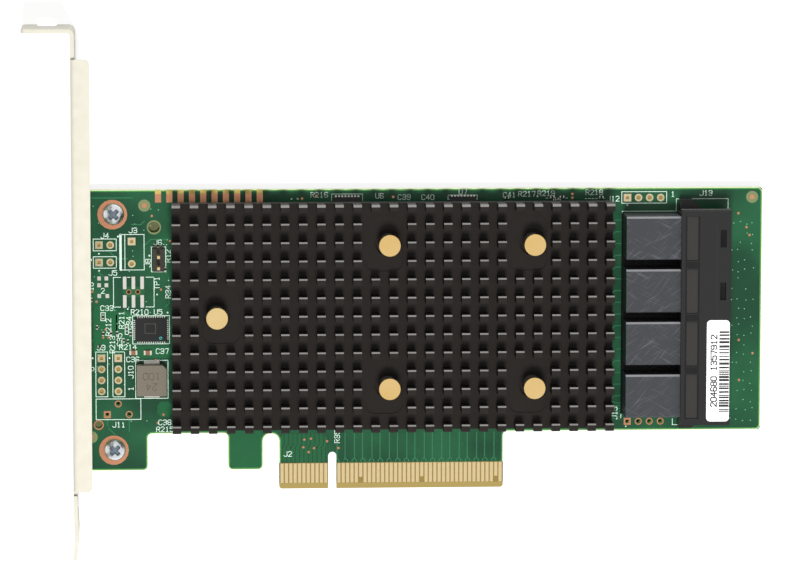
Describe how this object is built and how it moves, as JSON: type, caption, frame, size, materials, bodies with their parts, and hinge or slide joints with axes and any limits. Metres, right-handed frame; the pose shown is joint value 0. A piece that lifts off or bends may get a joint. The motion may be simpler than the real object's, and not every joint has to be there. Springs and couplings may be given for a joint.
{
  "type": "host bus adapter",
  "caption": "Low-profile expansion card with a pin-fin heat sink, a ganged internal cable connector, a card edge and a full-height bracket",
  "frame": {"origin": "On the bracket's outer face (X = 0), level with the tip of the card edge (Y = 0) and the board's component face (Z = 0).", "axes": "+X runs along the card away from the bracket, +Y up from the card edge to the board's top edge, +Z out of the component side."},
  "size_m": [0.1682, 0.12, 0.0184],
  "materials": {
    "solder_mask": "glass-epoxy laminate under glossy green mask",
    "gold": "gold plated copper",
    "bracket_steel": "zinc plated steel sheet",
    "zinc": "zinc plated",
    "copper": "bare copper",
    "tin": "tinned copper",
    "black_anodised": "black anodised",
    "brass": "turned brass",
    "spring_steel": "drawn wire",
    "package_laminate": "laminate package",
    "nickel_copper": "nickel plated copper lid",
    "thermal_pad": "soft gap filler",
    "moulding_compound": "epoxy moulding compound",
    "housing_plastic": "black moulded plastic",
    "block_plastic": "dark grey moulded plastic",
    "label": "white film label",
    "ferrite": "pressed iron powder",
    "capacitor_ceramic": "fired ceramic"
  },
  "bodies": {
    "root": {"circuit_board": "solder_mask", "front_edge_contacts": "gold", "back_edge_contacts": "gold", "bracket": "bracket_steel", "bracket_screws": "zinc", "screw_ring_pads": "copper", "edge_test_pads": "gold", "header_pads": "gold", "solder_pads": "tin", "heat_sink": "black_anodised", "push_pins": "brass", "push_pin_springs": "spring_steel", "controller_substrate": "package_laminate", "controller_lid": "nickel_copper", "thermal_pad": "thermal_pad", "flash_chips": "moulding_compound", "connector_housing": "housing_plastic", "terminal_block_1": "block_plastic", "terminal_block_2": "block_plastic", "terminal_block_3": "block_plastic", "terminal_block_4": "block_plastic", "port_contacts": "gold", "barcode_label": "label", "inductor_terminals": "tin", "inductor_core": "ferrite", "regulator_chip": "moulding_compound", "header_body": "block_plastic", "header_posts": "gold", "chip_capacitors": "capacitor_ceramic", "chip_resistors": "moulding_compound", "chip_end_caps": "tin"}
  },
  "joints": []
}
